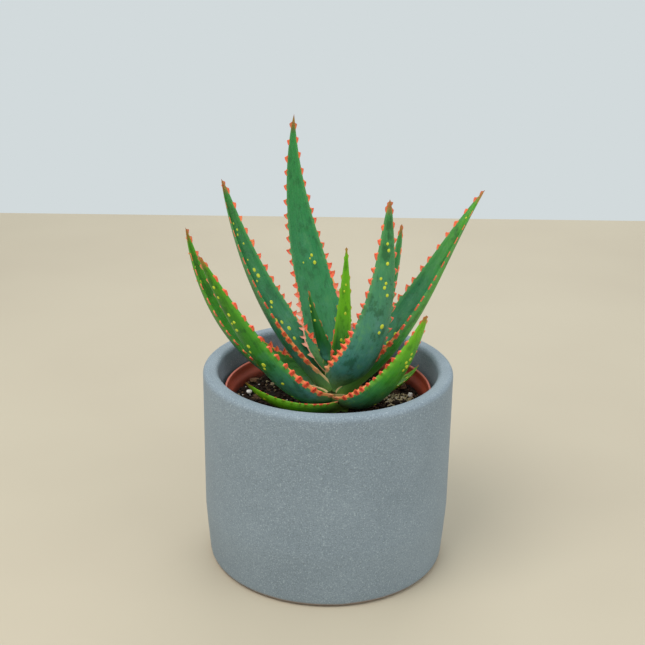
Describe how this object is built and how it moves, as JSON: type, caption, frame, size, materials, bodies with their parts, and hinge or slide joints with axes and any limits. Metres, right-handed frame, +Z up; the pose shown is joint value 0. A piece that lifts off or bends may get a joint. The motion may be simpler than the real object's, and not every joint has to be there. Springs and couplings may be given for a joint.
{
  "type": "potted aloe plant",
  "caption": "Young toothed aloe with upright succulent leaves, rooted in a plastic nursery pot that stands inside a round ceramic planter.",
  "frame": {"origin": "centre of the planter's flat base, on the surface that it stands on", "axes": "+Z up through the middle of the planter; the front of the plant, where the leaves lean least, faces -Y; +X to the right seen from the front"},
  "size_m": [0.1523, 0.13, 0.231],
  "materials": {
    "planter": "matt speckled grey stoneware, unglazed under the base",
    "nursery_pot": "satin terracotta-coloured polypropylene",
    "soil": "loose dark peat and bark mix",
    "stem": "smooth pale green",
    "leaf_blue": "satin waxy blue-green leaf with coral teeth",
    "leaf_green": "satin waxy green leaf with coral teeth",
    "leaf_lime": "satin waxy yellow-green leaf with coral teeth",
    "perlite": "matt white expanded grain",
    "bark": "rough composted bark"
  },
  "bodies": {
    "root": {"ceramic_planter": "planter", "nursery_pot": "nursery_pot", "potting_soil": "soil", "stem": "stem", "leaf_back_tall": "leaf_blue", "leaf_left_tall": "leaf_blue", "leaf_left_front": "leaf_green", "leaf_left_long": "leaf_green", "leaf_front_upright": "leaf_blue", "leaf_right_long": "leaf_blue", "leaf_right_front": "leaf_lime", "leaf_centre_young": "leaf_green", "leaf_back_young": "leaf_lime", "leaf_right_back": "leaf_blue", "leaf_left_low": "leaf_lime", "leaf_right_low": "leaf_lime", "leaf_heart": "leaf_lime", "perlite_grain_1": "perlite", "perlite_grain_2": "perlite", "perlite_grain_3": "perlite", "perlite_grain_4": "perlite", "perlite_grain_5": "perlite", "perlite_grain_6": "perlite", "perlite_grain_7": "perlite", "perlite_grain_8": "perlite", "bark_chip_1": "bark", "bark_chip_2": "bark", "bark_chip_3": "bark", "bark_chip_4": "bark", "bark_chip_5": "bark", "bark_chip_6": "bark"}
  },
  "joints": []
}
